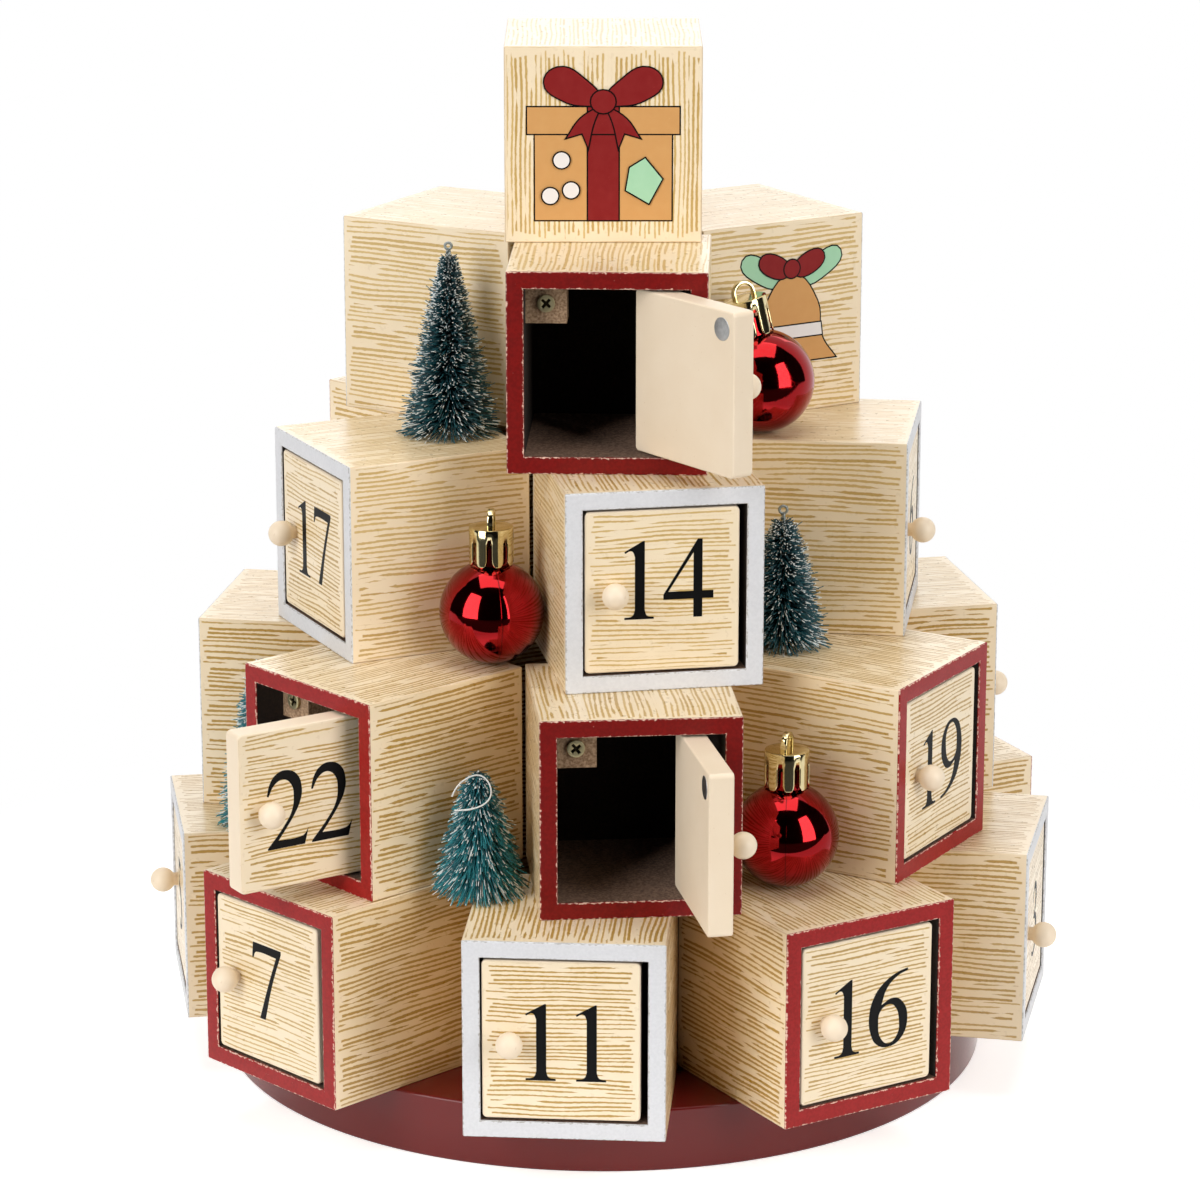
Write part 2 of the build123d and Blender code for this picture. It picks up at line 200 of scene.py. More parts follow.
class Shader:
    """The nodes of a material or world. Inputs are values or outputs of other nodes."""

    def __init__(self, name, library=bpy.data.materials):
        self.owner = library.new(name)
        self.owner.use_nodes = True
        self.tree = self.owner.node_tree
        self.tree.nodes.clear()

    def add(self, kind, inputs, **settings):
        node = self.tree.nodes.new("ShaderNode" + kind)
        for key, value in settings.items():
            setattr(node, key, value)
        for key, value in inputs.items():
            if isinstance(value, bpy.types.NodeSocket):
                self.tree.links.new(value, node.inputs[key])
            else:
                node.inputs[key].default_value = value
        return node

    def out(self, kind, inputs, **settings):
        return self.add(kind, inputs, **settings).outputs[0]

    def calc(self, operation, first, second=0):
        return self.out("Math", {0: first, 1: second}, operation=operation)

    plus = partialmethod(calc, "ADD")
    minus = partialmethod(calc, "SUBTRACT")
    times = partialmethod(calc, "MULTIPLY")
    over = partialmethod(calc, "DIVIDE")
    least = partialmethod(calc, "MINIMUM")
    most = partialmethod(calc, "MAXIMUM")

    def vector(self, x, y, z=0):
        return self.out("CombineXYZ", {"X": x, "Y": y, "Z": z})

    def split(self, vector):
        return self.add("SeparateXYZ", {"Vector": vector}).outputs

    def uv(self, layer):
        return self.split(self.out("UVMap", {}, uv_map=layer))

    def place(self):
        """The point on the piece, in millimetres."""
        point = self.add("TexCoord", {}).outputs["Object"]
        return self.out("VectorMath", {0: point, "Scale": 1 / MM}, operation="SCALE")

    def noise(self, vector, scale, detail=2):
        return self.out("TexNoise", {"Vector": vector, "Scale": scale, "Detail": detail})

    def cloud(self, scale, detail=2):
        """Noise over the piece, in its own millimetres."""
        return self.noise(self.place(), scale, detail)

    def step(self, value, low, high):
        """Rises smoothly from 0 at low to 1 at high."""
        inputs = {"Value": value, "From Min": low, "From Max": high}
        return self.out("MapRange", inputs, interpolation_type="SMOOTHSTEP")

    def span(self, value, low, high):
        """A value of 0 to 1, stretched to run from low to high."""
        return self.out("MapRange", {"Value": value, "To Min": low, "To Max": high})

    def mix(self, share, first, second):
        """Blends two colours, each an sRGB triple of 0 to 255 or an output of another node."""
        first, second = (linear(*c) if isinstance(c, tuple) else c for c in (first, second))
        return self.add("Mix", {0: share, 6: first, 7: second}, data_type="RGBA").outputs[2]

    def bump(self, height, strength, rise):
        """The normal over a relief that rises by so many millimetres."""
        inputs = {"Height": height, "Strength": strength, "Distance": rise * MM}
        return self.out("Bump", inputs)

    def seen(self):
        """1 for what the camera sees, also in metal or glass, and 0 for light on the object."""
        path = self.add("LightPath", {}).outputs
        direct = self.most(path["Is Camera Ray"], path["Is Glossy Ray"])
        return self.most(direct, path["Is Transmission Ray"])

    def finish(self, colour, rough, bump=None, specular=0.5, metallic=0, coat=0):
        inputs = {"Base Color": colour, "Roughness": rough, "Specular IOR Level": specular,
                  "Metallic": metallic, "Coat Weight": coat}
        if bump is not None:
            inputs["Normal"] = bump
        surface = self.out("BsdfPrincipled", inputs)
        self.add("OutputMaterial", {"Surface": surface})
        return self.owner


def printed_wood(name, row_gap, stroke_width, dash, waviness):
    """Cream paint with long tapered ochre strokes along the print's first direction."""
    shade = Shader(name)
    along, across, _ = shade.uv("Print")
    length, breadth, _ = shade.uv("Size")
    face, _, _ = shade.uv("Seed")
    piece = shade.add("ObjectInfo", {}).outputs["Random"]
    seed = shade.plus(shade.times(piece, 83), shade.times(face, 7.3))
    point = shade.vector(along, across, seed)

    drift_point = shade.vector(shade.over(along, 38), shade.over(across, 13), seed)
    drift = shade.span(shade.noise(drift_point, 1, 1), -waviness, waviness)
    rows = shade.plus(shade.over(across, row_gap), drift)
    row = shade.calc("FLOOR", rows)
    offset = shade.minus(shade.calc("FRACT", rows), 0.5)
    row_seed = {"Vector": shade.vector(row, seed)}
    chance = shade.out("TexWhiteNoise", row_seed, noise_dimensions="2D")

    slid = shade.plus(shade.over(along, dash), shade.times(chance, 57))
    pulse = shade.noise(shade.vector(slid, shade.times(row, 3.17), seed), 1, 1.5)
    half = shade.times(shade.minus(pulse, 0.37), 3.5)
    half = shade.least(half, shade.span(chance, 0.36 * stroke_width, 0.56 * stroke_width))
    ragged_point = shade.vector(shade.times(along, 0.6), shade.times(across, 2), seed)
    ragged = shade.span(shade.noise(ragged_point, 1, 3), -0.17, 0.17)
    off_row = shade.plus(offset, shade.plus(ragged, shade.span(chance, -0.16, 0.16)))
    cover = shade.minus(half, shade.calc("ABSOLUTE", off_row))
    stroke = shade.step(cover, -0.02, 0.05)

    end = shade.least(along, shade.minus(length, along))
    side = shade.least(across, shade.minus(breadth, across))
    past_margin = shade.minus(end, shade.span(chance, 0.8, 3.4))
    stroke = shade.times(stroke, shade.step(past_margin, 0, 0.5))
    stroke = shade.times(stroke, shade.step(side, 0.5, 1.2))

    cloud = shade.noise(point, 0.07, 3)
    cream = shade.mix(cloud, (240, 219, 184), (247, 230, 200))
    print_run = shade.out("TexWhiteNoise", {"W": seed}, noise_dimensions="1D")
    _, _, height = shade.split(shade.add("NewGeometry", {}).outputs["Position"])
    fresh = shade.minus(shade.plus(print_run, chance), shade.step(height, 0.1, 0.26))
    ochre = shade.mix(shade.step(fresh, -0.6, 1.5), (216, 184, 120), (184, 146, 70))
    colour = shade.mix(stroke, cream, ochre)
    rim = shade.least(end, side)
    worn = shade.plus(rim, shade.span(cloud, -0.5, 0.5))
    colour = shade.mix(shade.step(worn, 0.55, 0.05), colour, (214, 186, 146))
    # Painted shade on the side boards of the lower boxes, deepening towards the back of each side.
    low_side = shade.times(shade.calc("LESS_THAN", face, 1.5), shade.step(height, 0.25, 0.08))
    wedge_shade = shade.times(low_side, shade.step(along, -10, 60))
    colour = shade.add("Mix", {0: wedge_shade, 6: colour, 7: SIDE_SHADE_TINT}, data_type="RGBA",
                       blend_type="MULTIPLY").outputs[2]
    bump = shade.bump(stroke, 0.25, 0.05)
    rough = shade.span(shade.noise(point, 0.5), 0.24, 0.34)
    return shade.finish(colour, rough, bump, specular=0.6)


def plain_cream():
    """The same cream paint without print, for the insides and edges of doors."""
    shade = Shader("plain_cream")
    cloud = shade.cloud(0.09, 3)
    colour = shade.mix(cloud, (238, 217, 188), (246, 228, 202))
    fleck = shade.step(shade.cloud(1.1), 0.70, 0.78)
    colour = shade.mix(shade.times(fleck, 0.35), colour, (208, 176, 136))
    bump = shade.bump(shade.cloud(2.2, 3), 0.12, 0.05)
    rough = shade.span(shade.cloud(0.5), 0.38, 0.5)
    return shade.finish(colour, rough, bump)


def frame_paint(name, paint, deep, chip):
    """Paint on a box's front edges, chipped along the rims and round the opening."""
    shade = Shader(name)
    across, up, _ = shade.uv("Print")
    width, height, _ = shade.uv("Size")
    piece = shade.times(shade.add("ObjectInfo", {}).outputs["Random"], 61)
    point = shade.vector(across, up, piece)
    board = BOARD / MM

    rim_x = shade.least(across, shade.minus(width, across))
    rim_z = shade.least(up, shade.minus(height, up))
    outer = shade.least(rim_x, rim_z)
    inner = shade.calc("ABSOLUTE", shade.minus(board, outer))
    rim = shade.least(outer, inner)
    ragged = shade.span(shade.noise(point, 0.9, 4), -1, 1)
    worn = shade.step(shade.minus(shade.plus(rim, ragged), 0.2), 0.12, -0.12)
    scratch = shade.step(shade.noise(point, 1.6, 4), 0.74, 0.79)
    worn = shade.most(worn, shade.times(scratch, 0.6))

    cloud = shade.noise(point, 0.25, 4)
    grain = shade.step(shade.noise(point, 1.1, 4), 0.35, 0.65)
    mottle = shade.plus(shade.times(cloud, 0.55), shade.times(grain, 0.45))
    colour = shade.mix(mottle, paint, deep)
    colour = shade.mix(worn, colour, chip)
    relief = shade.minus(shade.noise(point, 1.5, 3), shade.times(worn, 0.6))
    bump = shade.bump(relief, 0.2, 0.08)
    rough = shade.span(cloud, 0.34, 0.48)
    return shade.finish(colour, rough, bump, specular=0.25)


def raw_wood(name, dark, light):
    """Raw fibreboard with short fibres and dust."""
    shade = Shader(name)
    fibre = shade.cloud(1.4, 5)
    cloud = shade.cloud(0.12)
    colour = shade.mix(shade.step(fibre, 0.3, 0.75), dark, light)
    colour = shade.mix(shade.times(cloud, 0.4), colour, dark)
    bump = shade.bump(fibre, 0.5, 0.15)
    rough = shade.span(fibre, 0.8, 0.95)
    return shade.finish(colour, rough, bump)


def lacquer():
    """Dark red gloss lacquer on the base, with a slight ripple."""
    shade = Shader("base_lacquer")
    cloud = shade.cloud(0.03, 3)
    colour = shade.mix(cloud, (112, 27, 25), (96, 21, 20))
    speck = shade.step(shade.cloud(0.9, 3), 0.72, 0.78)
    colour = shade.mix(shade.times(speck, 0.25), colour, (128, 66, 62))
    bump = shade.bump(shade.cloud(0.11), 0.1, 0.25)
    rough = shade.span(cloud, 0.08, 0.15)
    return shade.finish(colour, rough, bump, specular=0.34)


def metal(name, bright, dull, rough_low, rough_high, scale):
    """Plated metal with faint clouding and fine wear."""
    shade = Shader(name)
    cloud = shade.cloud(scale, 4)
    colour = shade.mix(cloud, bright, dull)
    bump = shade.bump(shade.cloud(scale * 3), 0.15, 0.05)
    rough = shade.span(cloud, rough_low, rough_high)
    return shade.finish(colour, rough, bump, metallic=1)


def mirror_red():
    """Red metallised shell: a seam down the middle, fine moulding streaks round each half's pole."""
    shade = Shader("bauble_red")
    x, y, z = shade.split(shade.place())
    seam_gap = shade.calc("ABSOLUTE", x)
    seam = shade.step(seam_gap, 0.28, 0.08)
    spoke = shade.calc("ARCTAN2", y, z)
    ray = shade.vector(shade.times(spoke, 13), shade.times(x, 0.05))
    streak = shade.noise(ray, 1)
    near_pole = shade.step(seam_gap, 5, 13)
    height = shade.times(shade.times(streak, near_pole), 0.5)
    height = shade.minus(height, seam)
    cloud = shade.cloud(0.08)
    colour = shade.mix(cloud, (158, 14, 20), (142, 10, 16))
    colour = shade.mix(shade.times(seam, 0.6), colour, (70, 6, 8))
    bump = shade.bump(height, 0.22, 0.12)
    rough = shade.span(cloud, 0.04, 0.09)
    return shade.finish(colour, rough, bump, metallic=1, coat=0.2)


def frosted_bristle(name, deep, lit):
    """Teal bristles, with painted shade that darkens them towards the wire, and white frost on their ends.
    """
    shade = Shader(name)
    along, chance, _ = shade.uv("Strand")
    patch = shade.span(shade.cloud(0.13), 0.28, -0.28)
    start = shade.plus(shade.span(chance, 0.78, 1.42), patch)
    fleck = shade.span(shade.cloud(0.9, 3), -0.12, 0.12)
    frost = shade.step(shade.minus(shade.plus(along, fleck), start), -0.03, 0.06)
    green = shade.mix(chance, deep, lit)
    # Painted shade: the bristles darken towards the wire, inside the brush.
    green = shade.mix(shade.step(along, 0.8, 0.25), green, (4, 24, 32))
    colour = shade.mix(frost, green, (226, 232, 230))
    rough = shade.span(frost, 0.42, 0.75)
    return shade.finish(colour, rough)


def ink(name, colour, pale):
    """Printed ink, thin in a few specks."""
    shade = Shader(name)
    speck = shade.step(shade.cloud(2.4, 3), 0.70, 0.76)
    cloud = shade.cloud(0.3, 3)
    tone = shade.mix(shade.times(cloud, 0.35), colour, pale)
    tone = shade.mix(shade.times(speck, 0.5), tone, pale)
    rough = shade.span(cloud, 0.4, 0.55)
    return shade.finish(tone, rough, specular=0.12)


def thread_white():
    """Twisted white thread."""
    shade = Shader("white_thread")
    twist = shade.cloud(2.5)
    colour = shade.mix(twist, (236, 236, 232), (206, 208, 206))
    return shade.finish(colour, 0.8, shade.bump(twist, 0.4, 0.1))


BOX_PRINT = printed_wood("printed_box", 1.6, 0.52, 17, 1)
DOOR_PRINT = printed_wood("printed_door", 1.35, 0.46, 21, 1.2)
TOPPER_PRINT = printed_wood("printed_topper", 1.45, 0.48, 15, 0.7)
CREAM = plain_cream()
RED_PAINT = frame_paint("red_paint", (164, 28, 27), (132, 18, 17), (226, 188, 168))
# A darker copy of the red paint, as painted shade.
SHADED_RED_PAINT = frame_paint("dark_red_paint", (130, 20, 17), (100, 13, 11), (222, 184, 164))
WHITE_PAINT = frame_paint("white_paint", (222, 222, 224), (211, 211, 213), (180, 176, 172))
# The raw board inside the boxes, darkened as painted shade: the walls nearly black, the floor less so.
SHADED_INSIDE = raw_wood("raw_inside", (26, 18, 15), (52, 39, 32))
SHADED_INSIDE_FLOOR = raw_wood("raw_floor", (80, 59, 47), (138, 110, 90))
BLOCK_WOOD = raw_wood("raw_block", (132, 102, 76), (206, 174, 140))
LACQUER = lacquer()
STEEL = metal("steel", (206, 206, 204), (150, 150, 150), 0.25, 0.45, 0.7)
PIN_STEEL = metal("pin_steel", (190, 190, 188), (140, 140, 138), 0.3, 0.5, 0.9)
BRASS = metal("screw_brass", (216, 206, 166), (180, 168, 126), 0.38, 0.52, 0.7)
# The slot floor: dark dirt and painted shade in the recess.
SLOT_DIRT_AND_SHADE = metal("screw_slot", (58, 52, 38), (32, 28, 20), 0.5, 0.7, 0.7)
GOLD = metal("bauble_gold", (234, 222, 178), (212, 194, 142), 0.06, 0.16, 0.35)
WIRE = metal("tree_wire", (176, 182, 180), (120, 128, 126), 0.35, 0.55, 0.9)
BAUBLE_RED = mirror_red()
DARK_BRISTLE = frosted_bristle("bristle_green", (2, 20, 27), (18, 94, 104))
BRIGHT_BRISTLE = frosted_bristle("bristle_teal", (6, 66, 78), (40, 150, 158))
BLACK_INK = ink("number_ink", (7, 7, 8), (20, 19, 20))
THREAD = thread_white()


moved = Matrix.Translation


def turned(degrees, axis):
    return Matrix.Rotation(math.radians(degrees), 4, axis)


def place_of_boxes():
    """Each box's place and how far its door stands open, worked out from its solid and its hinge."""
    places = {}
    for joint in frame["joints"]:
        number = int(joint["child"].split("_")[1])
        low, high = (Vector(corner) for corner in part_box(f"box_{number:02d}"))
        middle = (low + high) / 2
        arm = Vector(joint["pos_m"]) - middle
        turn = math.atan2(arm.y, arm.x) - math.atan2(DOOR_MIDDLE - BOX_DEPTH / 2, PIVOT_X)
        place = moved((middle.x, middle.y, low.z)) @ Matrix.Rotation(turn, 4, "Z")
        place = place @ moved((0, -BOX_DEPTH / 2, 0))
        places[number] = (place, -joint["range_deg"][0])
    return places


PLACES = place_of_boxes()


def rings_of_boxes():
    """The places of each ring's boxes, in order to the right, from the bottom ring up."""
    rings = []
    for place, _ in PLACES.values():
        if not rings or abs(rings[-1][0].translation.z - place.translation.z) > MM:
            rings.append([])
        rings[-1].append(place)
    return rings


RINGS = rings_of_boxes()


def gap_place(ring, step, radius):
    """Where a round decoration of this radius stands against the facing sides of two neighbours."""
    boxes = RINGS[ring]
    left = boxes[step % len(boxes)]
    right = boxes[(step + 1) % len(boxes)]
    reach = BOX_WIDTH / 2 + radius + DECORATION_GAP
    left_side = left.col[0].xy
    right_side = right.col[0].xy
    away = Vector((left.translation.xy @ left_side + reach, right.translation.xy @ right_side - reach))
    spot = Matrix((left_side, right_side)).inverted() @ away
    return Vector((spot.x, spot.y, left.translation.z))


def to_mesh(bm, name, *materials, smooth=True, sharp=None):
    """A mesh with these materials, and hard edges where it bends by more than sharp degrees."""
    mesh = bpy.data.meshes.new(name)
    bm.to_mesh(mesh)
    bm.free()
    for material in materials:
        mesh.materials.append(material)
    for face in mesh.polygons:
        face.use_smooth = smooth
    if sharp:
        mesh.set_sharp_from_angle(angle=math.radians(sharp))
    return mesh


def linked(data):
    """A new object in the scene, named like its data."""
    item = bpy.data.objects.new(data.name, data)
    bpy.context.scene.collection.objects.link(item)
    return item


def put(shape, place, body, slot, *nodes):
    """Makes a piece from a mesh or curve that rides on a body and stands for these solids."""
    piece = linked(shape)
    piece.matrix_world = place
    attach(piece, body)
    if nodes:
        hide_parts(*nodes)
    return piece


def flatten(piece):
    """Keeps the flat faces of a bevelled piece flat in the light."""
    piece.modifiers.new("flat_faces", "WEIGHTED_NORMAL")


def soften(bm, edges, width, segments):
    bmesh.ops.bevel(bm, geom=edges, offset=width, segments=segments, profile=0.5, affect="EDGES")


def ring_of_corners(bm, half, low, high, y):
    corners = ((-half, low), (half, low), (half, high), (-half, high))
    return [bm.verts.new((x, y, z)) for x, z in corners]


def lay_print(bm, low, high, directions):
    """Print directions on each face, by its normal, in millimetres from the low corner."""
    print_layer = bm.loops.layers.uv.new("Print")
    size_layer = bm.loops.layers.uv.new("Size")
    seed_layer = bm.loops.layers.uv.new("Seed")
    for face in bm.faces:
        normal = max(range(3), key=lambda axis: abs(face.normal[axis]))
        u, v = directions[normal]
        seed = 2 * normal + (face.normal[normal] > 0)
        for loop in face.loops:
            point = loop.vert.co - low
            loop[print_layer].uv = (point[u] / MM, point[v] / MM)
            loop[size_layer].uv = ((high - low)[u] / MM, (high - low)[v] / MM)
            loop[seed_layer].uv = (seed, 0)


def box_shell():
    """An open box with softened edges: printed outside, painted front, raw inside darkened as painted
    shade.
    """
    bm = bmesh.new()
    half = BOX_WIDTH / 2
    front = ring_of_corners(bm, half, 0, BOX_HEIGHT, 0)
    back = ring_of_corners(bm, half, 0, BOX_HEIGHT, BOX_DEPTH)
    mouth = ring_of_corners(bm, half - BOARD, BOARD, BOX_HEIGHT - BOARD, 0)
    inside = ring_of_corners(bm, half - BOARD, BOARD, BOX_HEIGHT - BOARD, BOX_DEPTH - BACK_BOARD)
    bm.faces.new(back)
    # Indices 2 and 3 are the raw board inside, darkened as painted shade.
    bm.faces.new(inside).material_index = 2
    for i in range(4):
        j = (i + 1) % 4
        bm.faces.new((front[i], front[j], back[j], back[i]))
        bm.faces.new((front[i], front[j], mouth[j], mouth[i])).material_index = 1
        bm.faces.new((mouth[i], mouth[j], inside[j], inside[i])).material_index = 2 if i else 3
    bmesh.ops.recalc_face_normals(bm, faces=bm.faces)
    # Outer edges and the rim of the mouth are rounded, inner corners stay sharp.
    rounded = [e for e in bm.edges if not any(v in inside for v in e.verts)]
    rounded = [e for e in rounded if e.verts[0] in mouth and e.verts[1] in mouth or
               not any(v in mouth for v in e.verts)]
    soften(bm, rounded, BOX_EDGE, 2)
    # The paint goes round the front edges.
    for face in bm.faces:
        if face.calc_center_median().y < 0.9 * BOX_EDGE:
            face.material_index = 1
    corner = Vector((-half, 0, 0))
    lay_print(bm, corner, Vector((half, BOX_DEPTH, BOX_HEIGHT)), {0: (1, 2), 1: (0, 2), 2: (1, 0)})
    return bm


def solid_block(low, high):
    bm = bmesh.new()
    bmesh.ops.create_cube(bm, size=1)
    for vert in bm.verts:
        for axis in range(3):
            vert.co[axis] = high[axis] if vert.co[axis] > 0 else low[axis]
    return bm


def door_panel():
    """A door with round corners and softened edges, printed on its outer face."""
    low = Vector((DOOR_FREE_EDGE, DOOR_RECESS, DOOR_LOW))
    high = Vector((DOOR_HINGE_EDGE, DOOR_BACK, DOOR_HIGH))
    bm = solid_block(low, high)
    soften(bm, [e for e in bm.edges if abs(e.verts[0].co.y - e.verts[1].co.y) > MM], DOOR_CORNER, 5)
    soften(bm, [e for e in bm.edges if abs(e.verts[0].co.y - e.verts[1].co.y) < MM / 100], DOOR_EDGE, 3)
    for face in bm.faces:
        face.material_index = 0 if face.normal.y < -0.9 else 1
    lay_print(bm, low, high, {0: (1, 2), 1: (0, 2), 2: (0, 1)})
    return bm


def lathe(profile, count):
    """Turns (radius, height) points round z. Points on the axis close the ends."""
    bm = bmesh.new()
    rings = []
    for radius, height in profile:
        if radius == 0:
            rings.append([bm.verts.new((0, 0, height))] * count)
            continue
        angles = [2 * math.pi * i / count for i in range(count)]
        rings.append([bm.verts.new((radius * math.cos(a), radius * math.sin(a), height)) for a in angles])
    for lower, upper in zip(rings, rings[1:]):
        for i in range(count):
            j = (i + 1) % count
            corners = dict.fromkeys((lower[i], lower[j], upper[j], upper[i]))
            bm.faces.new(list(corners))
    bmesh.ops.recalc_face_normals(bm, faces=bm.faces)
    return bm


def arc(radius, height, reach, start, end, count):
    """Points of (radius, height) on an arc, between two angles above the horizontal."""
    points = []
    for i in range(count + 1):
        angle = math.radians(start + (end - start) * i / count)
        points.append((radius + reach * math.cos(angle), height + reach * math.sin(angle)))
    return points


def rounded_disc(diameter, low, high, edge):
    """A lathe profile for a disc with round rims."""
    radius = diameter / 2 - edge
    under = arc(radius, low + edge, edge, -90, 0, 4)
    over = arc(radius, high - edge, edge, 0, 90, 4)
    return [(0, low)] + under + over + [(0, high)]


def knob_profile():
    ball = KNOB_DIAMETER / 2
    neck = KNOB_NECK_DIAMETER / 2
    sink = math.degrees(math.acos(neck / ball))
    middle = KNOB_NECK_LENGTH + ball * math.sin(math.radians(sink))
    points = arc(0, middle, ball, -sink, 90, 14)
    points[-1] = (0, middle + ball)
    return [(0, -KNOB_SINK), (neck, -KNOB_SINK)] + points


CORNER = "VECTOR"
SMOOTH = "AUTO"


def polygon(*points):
    """Points of an outline that are corners."""
    return [(x, y, CORNER) for x, y in points]


def blob(*points):
    """Points of an outline that curves through them."""
    return [(x, y, SMOOTH) for x, y in points]


def oval(x, y, across, up, tilt=0):
    """An oval with these half sizes, turned by tilt degrees."""
    cos, sin = math.cos(math.radians(tilt)), math.sin(math.radians(tilt))
    ends = ((across, 0), (0, up), (-across, 0), (0, -up))
    return blob(*((x + a * cos - b * sin, y + a * sin + b * cos) for a, b in ends))


# Serif figures, in units of their height. Each is a list of closed outlines.
SIX = (
    polygon((0.582, 0.97), (0.572, 1))
    + blob((0.414, 0.965), (0.213, 0.86), (0.078, 0.71), (0, 0.45), (0.034, 0.2), (0.123, 0.058),
           (0.297, 0), (0.482, 0.075), (0.582, 0.33), (0.498, 0.57), (0.361, 0.64))
    + polygon((0.185, 0.575)) + blob((0.263, 0.78), (0.426, 0.92)),
    blob((0.302, 0.045), (0.431, 0.14), (0.454, 0.32), (0.403, 0.5), (0.314, 0.565), (0.174, 0.5),
         (0.14, 0.33), (0.185, 0.13)),
)
FIGURES = {
    "0": (oval(0.27, 0.5, 0.27, 0.5), oval(0.27, 0.5, 0.145, 0.455)),
    "1": (
        polygon((0, 0.026), (0, 0), (0.37, 0), (0.37, 0.026)) + blob((0.285, 0.045))
        + polygon((0.255, 0.12), (0.255, 1), (0.235, 1), (0, 0.868), (0.008, 0.845))
        + blob((0.09, 0.875)) + polygon((0.132, 0.8), (0.132, 0.12)) + blob((0.1, 0.045)),
    ),
    "2": (
        polygon((0.022, 0.69), (0, 0.7))
        + blob((0.045, 0.86), (0.14, 0.97), (0.275, 1), (0.42, 0.93), (0.49, 0.74), (0.47, 0.585),
               (0.388, 0.42), (0.297, 0.29)) + polygon((0.15, 0.105))
        + blob((0.45, 0.105), (0.515, 0.125)) + polygon((0.575, 0.205), (0.52, 0), (0, 0), (0, 0.02))
        + blob((0.24, 0.29), (0.345, 0.46), (0.375, 0.64), (0.345, 0.8), (0.235, 0.885), (0.115, 0.84)),
    ),
    "3": (
        polygon((0.052, 0.775), (0.03, 0.785))
        + blob((0.12, 0.935), (0.255, 1), (0.395, 0.935), (0.435, 0.8), (0.385, 0.655))
        + polygon((0.29, 0.57)) + blob((0.43, 0.49), (0.49, 0.32), (0.41, 0.1), (0.2, 0), (0.06, 0.02))
        + polygon((0, 0.07), (0.015, 0.105))
        + blob((0.15, 0.055), (0.3, 0.1), (0.375, 0.28), (0.32, 0.45))
        + polygon((0.14, 0.52), (0.14, 0.548))
        + blob((0.28, 0.63), (0.325, 0.77), (0.29, 0.88), (0.205, 0.915), (0.12, 0.885)),
    ),
    "4": (
        polygon((0.378, 0), (0.49, 0), (0.49, 0.235), (0.63, 0.235), (0.63, 0.335), (0.49, 0.335),
                (0.49, 1), (0.43, 1), (0, 0.3), (0, 0.235), (0.378, 0.235)),
        polygon((0.378, 0.335), (0.378, 0.83), (0.062, 0.335)),
    ),
    "5": (
        polygon((0.055, 0.565), (0.12, 1), (0.46, 1), (0.415, 0.89), (0.155, 0.89), (0.125, 0.665))
        + blob((0.3, 0.625), (0.45, 0.5), (0.485, 0.32), (0.41, 0.1), (0.2, 0), (0.06, 0.02))
        + polygon((0, 0.07), (0.015, 0.105))
        + blob((0.15, 0.055), (0.3, 0.1), (0.37, 0.27), (0.32, 0.44), (0.2, 0.53)),
    ),
    "6": SIX,
    "7": (
        polygon((0.026, 0.79), (0, 0.79), (0.02, 1), (0.56, 1), (0.56, 0.955)) + blob((0.38, 0.5))
        + polygon((0.235, 0), (0.13, 0)) + blob((0.3, 0.47)) + polygon((0.465, 0.885))
        + blob((0.12, 0.885), (0.06, 0.865)),
    ),
    "8": (
        blob((0.26, 1), (0.42, 0.93), (0.465, 0.78), (0.36, 0.575), (0.475, 0.44), (0.52, 0.26),
             (0.45, 0.075), (0.26, 0), (0.07, 0.075), (0, 0.25), (0.06, 0.43), (0.165, 0.53),
             (0.06, 0.77), (0.1, 0.92)),
        blob((0.26, 0.95), (0.35, 0.89), (0.365, 0.77), (0.3, 0.62), (0.17, 0.74), (0.17, 0.88)),
        blob((0.26, 0.05), (0.13, 0.11), (0.11, 0.25), (0.215, 0.485), (0.385, 0.32), (0.39, 0.13)),
    ),
    "9": [[(0.582 - x, 1 - y, kind) for x, y, kind in outline] for outline in SIX],
}


def outlined(name, outlines, scale, grow, depth, edge=0):
    """A flat shape between closed outlines, facing minus y, with rims rounded by edge."""
    curve = bpy.data.curves.new(name, "CURVE")
    curve.dimensions = "2D"
    curve.fill_mode = "BOTH"
    curve.extrude = depth / 2 - edge
    curve.offset = grow - edge
    curve.bevel_depth = edge
    curve.bevel_resolution = 2
    curve.resolution_u = 5
    for outline in outlines:
        spline = curve.splines.new("BEZIER")
        spline.bezier_points.add(len(outline) - 1)
        spline.use_cyclic_u = True
        # Handles follow the points on both sides, so all points are placed first.
        for knot, (x, y, _) in zip(spline.bezier_points, outline):
            knot.co = (x * scale, y * scale, 0)
        for knot, (_, _, kind) in zip(spline.bezier_points, outline):
            knot.handle_left_type = kind
            knot.handle_right_type = kind
    holder = linked(curve)
    depsgraph = bpy.context.evaluated_depsgraph_get()
    mesh = bpy.data.meshes.new_from_object(holder.evaluated_get(depsgraph))
    bpy.data.objects.remove(holder)
    bpy.data.curves.remove(curve)
    bm = bmesh.new()
    bm.from_mesh(mesh)
    bpy.data.meshes.remove(mesh)
    bmesh.ops.remove_doubles(bm, verts=bm.verts, dist=depth / 10)
    bmesh.ops.transform(bm, matrix=turned(90, "X"), verts=bm.verts)
    return bm


def number_outlines(number):
    """The figures of a number side by side, centred on x."""
    outlines = []
    figures = str(number)
    for i, figure in enumerate(figures):
        shape = FIGURES[figure]
        width = max(x for outline in shape for x, _, _ in outline)
        left = (i - (len(figures) - 1) / 2) * DIGIT_CELL - width / 2
        outlines += [[(x + left, y, kind) for x, y, kind in outline] for outline in shape]
    return outlines


